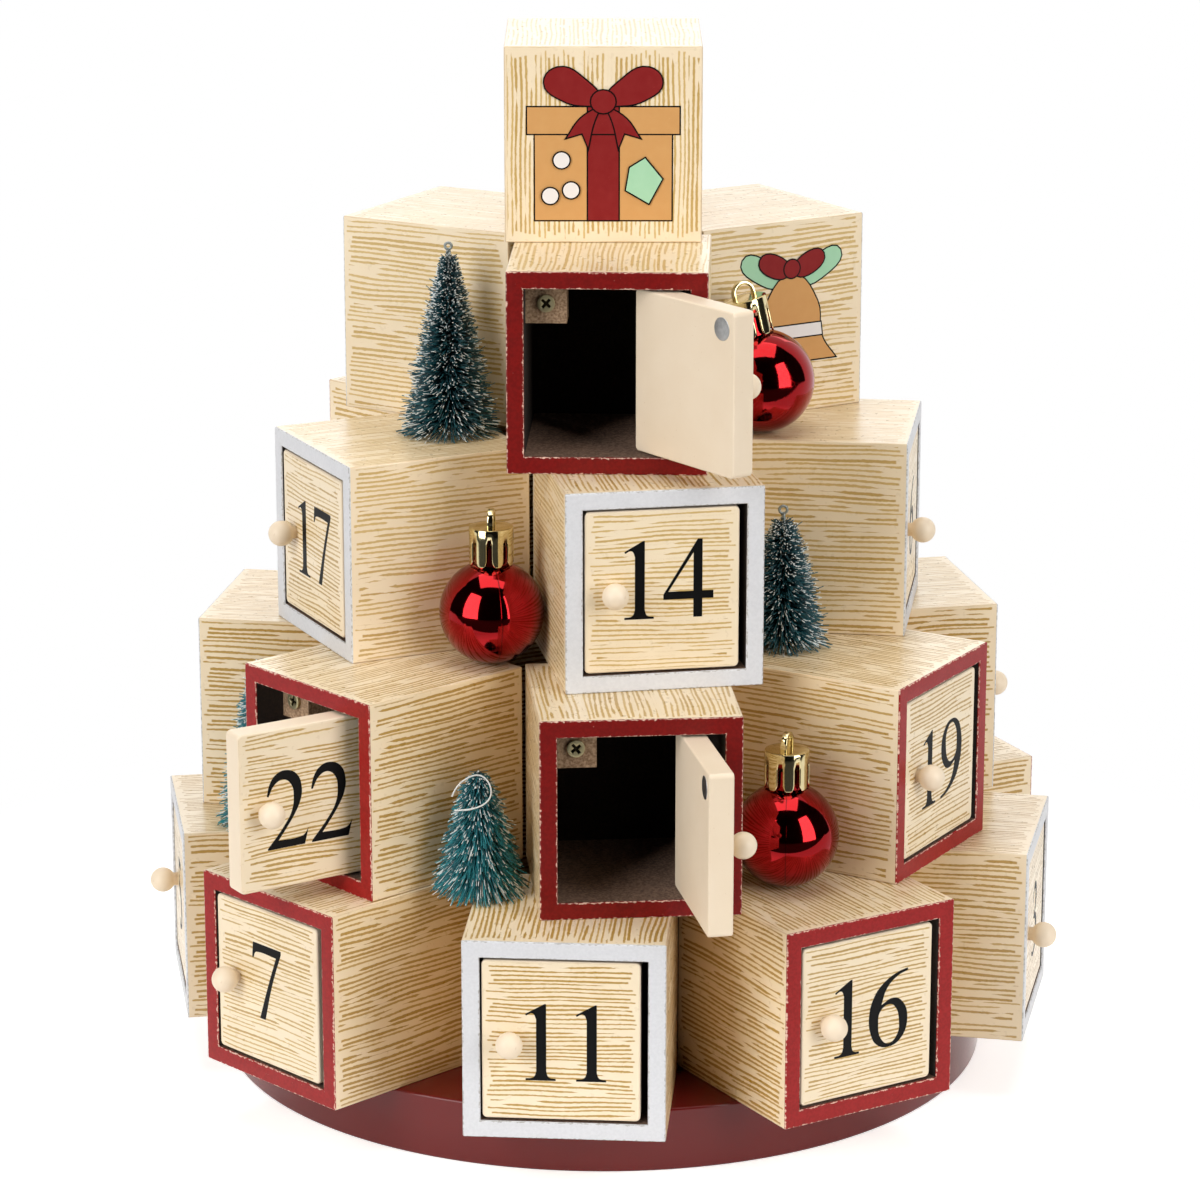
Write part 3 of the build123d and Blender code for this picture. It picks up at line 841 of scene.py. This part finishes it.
def flat_number(number):
    bm = outlined("number", number_outlines(number), DIGIT_HEIGHT, 0, INK)
    right, up = NUMBER_SHIFTS.get(number, NUMBER_SHIFT)
    foot = (DOOR_LOW + DOOR_HIGH - DIGIT_HEIGHT) / 2
    shift = moved((DOOR_CENTRE + right * MM, DOOR_RECESS - INK / 2, foot + up * MM))
    bmesh.ops.transform(bm, matrix=shift, verts=bm.verts)
    return bm


def add_boxes():
    for number, (place, _) in PLACES.items():
        paint = RED_PAINT if number in RED_FRAMES else WHITE_PAINT
        # Boxes 4 and 24 take the darker copy of the red paint, as painted shade.
        paint = SHADED_RED_PAINT if number in SHADED_RED_FRAMES else paint
        name = f"box_{number:02d}"
        mesh = to_mesh(box_shell(), name + "_shell", BOX_PRINT, paint, SHADED_INSIDE, SHADED_INSIDE_FLOOR)
        flatten(put(mesh, place, "calendar", "printed_wood", name))


def add_doors():
    outward = turned(90, "X")
    pivot = Vector((PIVOT_X, DOOR_MIDDLE, 0))
    knob_at = Vector((DOOR_FREE_EDGE + KNOB_INSET, DOOR_RECESS, BOX_HEIGHT / 2))
    disc_at = Vector((CATCH_X, DOOR_BACK, CATCH_Z))
    disc_foot = CATCH_DISC_PROUD - CATCH_DISC_THICKNESS
    disc = rounded_disc(CATCH_DISC_DIAMETER, disc_foot, CATCH_DISC_PROUD, METAL_EDGE)
    pin_profile = rounded_disc(PIN_DIAMETER, 0, PIN_IN_DOOR + PIN_IN_BOX, METAL_EDGE)
    for number, (box_place, opening) in PLACES.items():
        swing = moved(pivot) @ turned(opening, "Z") @ moved(-pivot)
        place = box_place @ swing
        body = f"door_{number:02d}"
        panel = to_mesh(door_panel(), body + "_panel", DOOR_PRINT, CREAM)
        flatten(put(panel, place, body, "printed_wood", body))
        figures = to_mesh(flat_number(number), body + "_number", BLACK_INK, smooth=False)
        put(figures, place, body, "number_ink", body)
        knob = to_mesh(lathe(knob_profile(), 32), body + "_knob", CREAM)
        put(knob, place @ moved(knob_at) @ outward, body, "knob_wood", body)
        plate = to_mesh(lathe(disc, 32), body + "_disc", STEEL, sharp=35)
        put(plate, place @ moved(disc_at) @ outward.inverted(), body, "steel", body)
        for end, foot in (("lower", DOOR_LOW - PIN_IN_BOX), ("upper", DOOR_HIGH - PIN_IN_DOOR)):
            pin = to_mesh(lathe(pin_profile, 20), f"{body}_{end}_pin", PIN_STEEL, sharp=35)
            pin_place = place @ moved(pivot + Vector((0, 0, foot)))
            put(pin, pin_place, body, "steel", body)


def add_base():
    low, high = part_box("base_disc")
    profile = rounded_disc(high[0] - low[0], low[2], high[2], BASE_EDGE)
    mesh = to_mesh(lathe(profile, 160), "base", LACQUER, sharp=35)
    flatten(put(mesh, Matrix(), "calendar", "base_lacquer", "base_disc"))


def add_topper():
    low, high = (Vector(corner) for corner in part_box("topper_cube"))
    bm = solid_block(low, high)
    soften(bm, bm.edges, BOX_EDGE, 2)
    lay_print(bm, low, high, {0: (2, 1), 1: (2, 0), 2: (1, 0)})
    mesh = to_mesh(bm, "topper", TOPPER_PRINT)
    flatten(put(mesh, Matrix(), "calendar", "printed_wood", "topper_cube"))


def bar(half, low, high):
    return polygon((-half, low), (half, low), (half, high), (-half, high))


def mirrored(outline):
    return [(-x, y, kind) for x, y, kind in reversed(outline)]


TAN_INK = ink("tan_ink", (206, 152, 92), (222, 176, 118))
BROWN_INK = ink("brown_ink", (94, 62, 40), (128, 92, 64))
RED_INK = ink("red_ink", (128, 26, 28), (160, 60, 56))
MINT_INK = ink("mint_ink", (160, 208, 170), (190, 222, 194))
WHITE_INK = ink("white_ink", (232, 226, 222), (240, 236, 230))

BOW_LOOP = blob((1, 11), (5, 17.5), (12, 20.5), (15.5, 16.5), (11, 12), (4, 10.5))
BOW_TAIL = polygon((0.5, 10.5)) + blob((6, 7)) + polygon((9.5, 2), (5.5, 3.2), (4, -0.5)) + blob((2.5, 6))
PICTURE_SCALE = 1.15
SIDE_PICTURE_SCALE = 1.3
# A parcel with a bow, a tag and three dots, in millimetres from the middle of the picture.
PARCEL = (
    (TAN_INK, bar(18, -20, 4)),
    (TAN_INK, bar(20, 3, 10)),
    (RED_INK, bar(4, -20, 3)),
    (RED_INK, bar(4, 3, 10)),
    (RED_INK, BOW_TAIL),
    (RED_INK, mirrored(BOW_TAIL)),
    (RED_INK, BOW_LOOP),
    (RED_INK, mirrored(BOW_LOOP)),
    (RED_INK, oval(0, 11.5, 3.2, 3)),
    (MINT_INK, polygon((7, -6), (11, -3.5), (15.5, -9), (12, -15.5), (6, -12))),
    (WHITE_INK, oval(-11, -4, 2.1, 2.1)),
    (WHITE_INK, oval(-8.5, -12, 2.1, 2.1)),
    (WHITE_INK, oval(-14, -13.5, 2.1, 2.1)),
)
# A bell with a bow and leaves.
BELL = (
    (MINT_INK, oval(-8.5, 12.5, 6.5, 2.8, 150)),
    (MINT_INK, oval(8.5, 12.5, 6.5, 2.8, 30)),
    (BROWN_INK, oval(0, -12, 3.2, 3.2)),
    (TAN_INK, polygon((13, -10.5), (-13, -10.5)) + blob((-9, -5), (-7.5, 4), (0, 11), (7.5, 4), (9, -5))),
    (WHITE_INK, polygon((-9, -4.5), (9, -4.5), (8.6, -1.5), (-8.6, -1.5))),
    (RED_INK, oval(-5, 13.5, 4.6, 2.6, 155)),
    (RED_INK, oval(5, 13.5, 4.6, 2.6, 25)),
    (RED_INK, oval(0, 12.5, 2.2, 2.2)),
)


def add_picture(name, shapes, scale, place):
    """Flat printed shapes with dark outlines, each layer a hair above the one before."""
    for layer, (colour, outline) in enumerate(shapes):
        for step, (grow, material) in enumerate(((PICTURE_OUTLINE, BLACK_INK), (0, colour))):
            bm = outlined(name, [outline], scale * MM, grow, INK)
            height = INK * (0.5 + 0.5 * (2 * layer + step))
            bmesh.ops.translate(bm, vec=(0, -height, 0), verts=bm.verts)
            mesh = to_mesh(bm, f"{name}_{layer}_{step}", material, smooth=False)
            put(mesh, place, "calendar", "number_ink")


def add_pictures():
    low, high = (Vector(corner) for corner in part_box("topper_cube"))
    middle = (low + high) / 2
    front = moved((middle.x, low.y, middle.z))
    add_picture("topper_picture", PARCEL, PICTURE_SCALE, front)
    side = moved((-BOX_WIDTH / 2, PICTURE_DEPTH, PICTURE_HEIGHT))
    side = PLACES[PICTURE_BOX][0] @ side @ turned(-90, "Z")
    add_picture("side_picture", BELL, SIDE_PICTURE_SCALE, side)


def globe_profile():
    """A ball with a neck that goes up into the cap."""
    ball = BAUBLE_DIAMETER / 2
    top = math.degrees(math.acos(NECK_RADIUS / ball))
    points = arc(0, 0, ball, -90, top, 44)
    points[0] = (0, -ball)
    return points + [(NECK_RADIUS, ball + NECK_LENGTH), (0, ball + NECK_LENGTH)]


def cap_mesh(name):
    """A crown: a flat top, a short ring and legs whose ends are rounded."""
    outer = CAP_DIAMETER / 2
    columns = CAP_LEGS * CAP_COLUMNS
    soft = 0.3 * CAP_RIM
    profile = ((outer, CAP_LEG_LENGTH), (outer, CAP_HEIGHT - CAP_RIM), (outer - soft, CAP_HEIGHT - soft),
               (outer - CAP_RIM, CAP_HEIGHT), (outer - CAP_TOP_RING, CAP_HEIGHT))
    bm = lathe(profile, columns)
    bm.verts.ensure_lookup_table()
    ring = bm.verts[:columns]
    bm.faces.new(bm.verts[-columns:])
    half = CAP_LEG_COLUMNS // 2
    for leg in range(CAP_LEGS):
        middle = leg * CAP_COLUMNS + CAP_COLUMNS // 2
        above = ring[middle - half:middle + half + 1]
        for row in range(1, CAP_LEG_ROWS + 1):
            share = row / CAP_LEG_ROWS
            round_share = max(0, (share - CAP_LEG_STRAIGHT) / (1 - CAP_LEG_STRAIGHT))
            taper = math.sqrt(1 - 0.98 * round_share ** 2)
            z = CAP_LEG_LENGTH * (1 - share)
            line = []
            for side in range(-half, half + 1):
                angle = 2 * math.pi * (middle + side * taper) / columns
                line.append(bm.verts.new((outer * math.cos(angle), outer * math.sin(angle), z)))
            for i in range(2 * half):
                bm.faces.new((line[i], line[i + 1], above[i + 1], above[i]))
            above = line
    bmesh.ops.recalc_face_normals(bm, faces=bm.faces)
    return to_mesh(bm, name, GOLD, sharp=40)


def hoop_mesh(name):
    """A flat band bent into an upright hoop with straight feet."""
    bm = bmesh.new()
    reach = (HOOP_WIDTH - HOOP_WALL) / 2
    foot = -HOOP_WALL / 2
    path = [(-reach, foot)] + arc(0, HOOP_HEIGHT - HOOP_WIDTH / 2, reach, 180, 0, 16) + [(reach, foot)]
    lines = []
    for x, z in path:
        lines.append([bm.verts.new((x, y, z)) for y in (-HOOP_BAND / 2, HOOP_BAND / 2)])
    for first, second in zip(lines, lines[1:]):
        bm.faces.new((first[0], first[1], second[1], second[0]))
    return to_mesh(bm, name, GOLD)


def add_baubles():
    ball = BAUBLE_DIAMETER / 2
    cap_foot = math.sqrt(ball ** 2 - (CAP_DIAMETER / 2 - CAP_WALL) ** 2) + SEAT_CLEARANCE
    seam = turned(-SEAM_TURN, "Z")
    for index, (ring, step, lean, turn) in enumerate(BAUBLES, 1):
        spot = gap_place(ring, step, ball) + Vector((0, 0, ball + SEAT_CLEARANCE))
        place = moved(spot) @ turned(lean, "Y") @ turned(turn, "Z")
        globe = to_mesh(lathe(globe_profile(), 72), f"bauble_{index}_globe", BAUBLE_RED, sharp=50)
        put(globe, place @ seam, "calendar", "bauble_red", "bauble_globes")
        cap_place = place @ moved((0, 0, cap_foot))
        crown = cap_mesh(f"bauble_{index}_cap")
        cap = put(crown, cap_place, "calendar", "bauble_gold", "bauble_caps")
        wall = cap.modifiers.new("wall", "SOLIDIFY")
        wall.thickness = CAP_WALL
        wall.offset = -1
        hoop_place = cap_place @ moved((0, 0, CAP_HEIGHT))
        strip = hoop_mesh(f"bauble_{index}_hoop")
        hoop = put(strip, hoop_place, "calendar", "bauble_gold", "bauble_caps")
        band = hoop.modifiers.new("band", "SOLIDIFY")
        band.thickness = HOOP_WALL
        band.offset = 0
        edge = hoop.modifiers.new("edge", "BEVEL")
        edge.width = HOOP_EDGE
        edge.segments = 2


def add_strand(bm, layer, start, end, sag, chance):
    """One bristle: a thin three-sided rod that bends a little and is thicker at its end."""
    line = end - start
    side = line.cross(Vector((0, 0, 1))).normalized()
    over = side.cross(line).normalized()
    pieces = 2
    previous = None
    for i in range(pieces + 1):
        share = i / pieces
        centre = start + line * share + sag * (share * share)
        radius = STRAND_RADIUS * (0.8 + 0.45 * share)
        ring = []
        for corner in range(3):
            angle = 2 * math.pi * corner / 3
            ring.append(bm.verts.new(centre + radius * (side * math.cos(angle) + over * math.sin(angle))))
        if previous:
            for corner in range(3):
                after = (corner + 1) % 3
                face = bm.faces.new((previous[corner], previous[after], ring[after], ring[corner]))
                shares = (share - 1 / pieces, share - 1 / pieces, share, share)
                for loop, along in zip(face.loops, shares):
                    loop[layer].uv = (along, chance)
        previous = ring
    tip = bm.faces.new(previous)
    for loop in tip.loops:
        loop[layer].uv = (1, chance)


def bent_wire(name, strands, radius, material):
    """A round wire along each row of points."""
    wire = bpy.data.curves.new(name, "CURVE")
    wire.dimensions = "3D"
    wire.bevel_depth = radius
    wire.bevel_resolution = 2
    wire.use_fill_caps = True
    wire.materials.append(material)
    for points in strands:
        spline = wire.splines.new("POLY")
        spline.points.add(len(points) - 1)
        for point, place in zip(spline.points, points):
            point.co = (*place, 1)
    return wire


def add_tree(index, foot_droop, top_droop, power, eye, bare_tip):
    """A bottle brush: a twisted wire with bristles in a spiral, longest at the foot."""
    dice = random.Random(index)
    node = f"brush_tree_{index}"
    low, high = (Vector(corner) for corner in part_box(node))
    middle = (low + high) / 2
    height = high.z - low.z
    radius = (high.x - low.x + high.y - low.y) / 4
    bm = bmesh.new()
    layer = bm.loops.layers.uv.new("Strand")
    brush = height - bare_tip * MM
    lowest = 2 * MM + 0.7 * radius * math.tan(math.radians(foot_droop))
    count = int(STRANDS_PER_MM * height / MM)
    for i in range(count):
        share = ((i + dice.random()) / count) ** 1.2
        angle = GOLDEN_ANGLE * i + dice.uniform(-0.3, 0.3)
        tilt = math.radians(dice.gauss(-foot_droop - (top_droop - foot_droop) * share, STRAND_SPREAD))
        level = math.cos(tilt)
        reach = radius * (TIP_REACH + FOOT_REACH * (1 - share) ** power) * dice.uniform(0.8, 1.06)
        # A steep strand is longer, so that it ends near the tree's outline too.
        reach /= max(level, 0.7)
        direction = Vector((math.cos(angle) * level, math.sin(angle) * level, math.sin(tilt)))
        start = Vector((0, 0, lowest + (brush - lowest) * share))
        end = start + direction * reach
        end.z = max(end.z, STRAND_CLEARANCE)
        sag = Vector((dice.uniform(-1, 1), dice.uniform(-1, 1), dice.uniform(-1, 0.6))) * (0.1 * reach)
        sag.z = max(sag.z, 0.4 * MM - end.z)
        add_strand(bm, layer, start, end, sag, dice.random() * (1.05 - 0.45 * share))
    mesh = to_mesh(bm, node + "_bristles", BRIGHT_BRISTLE if index in BRIGHT_TREES else DARK_BRISTLE)
    place = moved((middle.x, middle.y, low.z))
    put(mesh, place, "calendar", "bristle_green", node)

    strands = []
    wire_top = height if eye else brush
    for half_turn in (0, math.pi):
        points = []
        for i in range(int(wire_top / MM * 3)):
            z = 0.5 * MM + i * MM / 3
            swirl = half_turn + 2 * math.pi * z / WIRE_PITCH
            points.append((0.9 * WIRE_RADIUS * math.cos(swirl), 0.9 * WIRE_RADIUS * math.sin(swirl), z))
        strands.append(points)
    if eye:
        strands.append([(x, 0, height + z) for x, z in arc(0, eye * MM, eye * MM, -90, 270, 14)])
    wire = bent_wire(node + "_wire", strands, WIRE_RADIUS, WIRE)
    put(wire, place, "calendar", "steel", node)
    if index == THREAD_TREE:
        path = [(x * MM, y * MM, height + z * MM) for x, y, z in THREAD_PATH]
        thread = bent_wire(node + "_thread", [path], THREAD_RADIUS, THREAD)
        for spline in thread.splines:
            spline.type = "NURBS"
            spline.use_endpoint_u = True
        put(thread, place, "calendar", "bristle_green", node)


def screw_mesh():
    """A head with a cross slot, its floor dark with dirt and painted shade, and a shank. It faces minus y,
    its front at zero.
    """
    long = SCREW_SLOT_LENGTH / 2
    thin = SCREW_SLOT_WIDTH / 2
    head = SCREW_HEAD_DIAMETER / 2
    shank = SCREW_SHANK_DIAMETER / 2
    arm = [(long, -thin), (long, thin), (thin, thin)]
    cross = []
    for _ in range(4):
        cross += arm
        arm = [(-y, x) for x, y in arm]
    seat = -SCREW_HEAD_HEIGHT
    tip = seat - SCREW_SHANK_LENGTH
    floor = -SCREW_SLOT_DEPTH
    rim = head - METAL_EDGE
    stem = lathe([(0, tip), (shank, tip), (shank, seat), (rim, seat), (rim, floor), (0, floor)], 24)
    for face in stem.faces:
        # The slot floor takes the second material, dark with dirt and painted shade.
        face.material_index = int(face.normal.z > 0.9)
    stem_mesh = to_mesh(stem, "screw_stem")
    stem_mesh.transform(turned(90, "X"))
    bm = outlined("screw", [oval(0, 0, head, head), polygon(*cross)], 1, 0, SCREW_SLOT_DEPTH, METAL_EDGE)
    bmesh.ops.translate(bm, vec=(0, SCREW_SLOT_DEPTH / 2, 0), verts=bm.verts)
    bm.from_mesh(stem_mesh)
    return to_mesh(bm, "screw")


def add_screws():
    """The catch screws, each turned by another angle."""
    screw = screw_mesh()
    seat = moved((CATCH_X, DOOR_BACK + CATCH_DISC_THICKNESS + CATCH_GAP, CATCH_Z))
    bm = bmesh.new()
    for number, (place, _) in PLACES.items():
        copy = screw.copy()
        copy.transform(place @ seat @ turned(SCREW_TURN * number, "Y"))
        bm.from_mesh(copy)
    mesh = to_mesh(bm, "screws", BRASS, SLOT_DIRT_AND_SHADE, sharp=40)
    put(mesh, Matrix(), "calendar", "steel", "catch_screws")


def dress_blocks():
    """The blocks' shape is right, so they keep their place and get a better material."""
    blocks = frame["nodes"]["catch_blocks"]
    blocks.data.materials.clear()
    blocks.data.materials.append(BLOCK_WOOD)


def add_floor():
    """White ground that keeps the shadow near the object and is plain white further out."""
    bm = bmesh.new()
    bmesh.ops.create_grid(bm, x_segments=4, y_segments=4, size=ROOM_WIDTH)
    shade = Shader("floor")
    cloud = shade.cloud(0.002)
    matt = shade.out("BsdfDiffuse", {"Color": shade.mix(cloud, (250, 250, 250), (246, 246, 247))})
    glow = shade.out("Emission", {"Color": WHITE, "Strength": FLOOR_GLOW})
    lift = shade.out("AddShader", {0: matt, 1: glow})
    white = shade.out("Emission", {"Color": WHITE, "Strength": 1})
    away = shade.add("VectorMath", {0: shade.place()}, operation="LENGTH").outputs["Value"]
    far = shade.step(away, *FLOOR_FADE)
    near = shade.out("MixShader", {0: far, 1: lift, 2: white})
    both = shade.out("MixShader", {0: shade.seen(), 1: matt, 2: near})
    shade.add("OutputMaterial", {"Surface": both})
    floor = linked(to_mesh(bm, "floor", shade.owner))


def add_room():
    """A dim room out of sight, open at the back, which glossy pieces show."""
    side = ROOM_WIDTH / 2
    bm = solid_block((-side, ROOM_FRONT, 0), (side, ROOM_BACK, ROOM_HEIGHT))
    open_sides = [face for face in bm.faces if face.normal.y > 0.9 or face.normal.z < -0.9]
    bmesh.ops.delete(bm, geom=open_sides, context="FACES_ONLY")
    ends = ((-side, ROOM_FRONT), (side, ROOM_FRONT), (side, ROOM_FLOOR_END), (-side, ROOM_FLOOR_END))
    bm.faces.new([bm.verts.new((x, y, MM)) for x, y in ends])
    shade = Shader("room")
    cloud = shade.cloud(0.002)
    matt = shade.out("BsdfDiffuse", {"Color": shade.mix(cloud, (70, 70, 70), (56, 56, 56))})
    shade.add("OutputMaterial", {"Surface": matt})
    room = linked(to_mesh(bm, "room", shade.owner))
    room.visible_camera = False


def add_light(name, place, target, across, up, power):
    lamp = bpy.data.lights.new(name, "AREA")
    lamp.shape = "RECTANGLE"
    lamp.size = across
    lamp.size_y = up
    lamp.energy = power
    holder = linked(lamp)
    holder.location = place
    holder.rotation_euler = (Vector(target) - Vector(place)).to_track_quat("-Z", "Y").to_euler()


def add_world():
    shade = Shader("studio", bpy.data.worlds)
    bpy.context.scene.world = shade.owner
    strength = shade.span(shade.seen(), WORLD_LIGHT, 1)
    back = shade.out("Background", {"Color": WHITE, "Strength": strength})
    shade.add("OutputWorld", {"Surface": back})


def add_studio():
    add_floor()
    add_room()
    add_world()
    for name, lamp in LAMPS.items():
        add_light(name, *lamp)
    camera = bpy.data.cameras.new("camera")
    camera.lens = CAMERA_LENS
    camera.sensor_width = CAMERA_SENSOR
    camera.shift_y = CAMERA_SHIFT
    holder = linked(camera)
    holder.location = CAMERA_PLACE
    holder.rotation_euler = (math.radians(90 - CAMERA_PITCH), 0, 0)
    bpy.context.scene.camera = holder
    bpy.context.scene.view_settings.view_transform = "Standard"


add_boxes()
add_doors()
add_base()
add_topper()
add_pictures()
add_baubles()
for tree_index, tree in enumerate(TREES, 1):
    add_tree(tree_index, *tree)
add_screws()
dress_blocks()
add_studio()
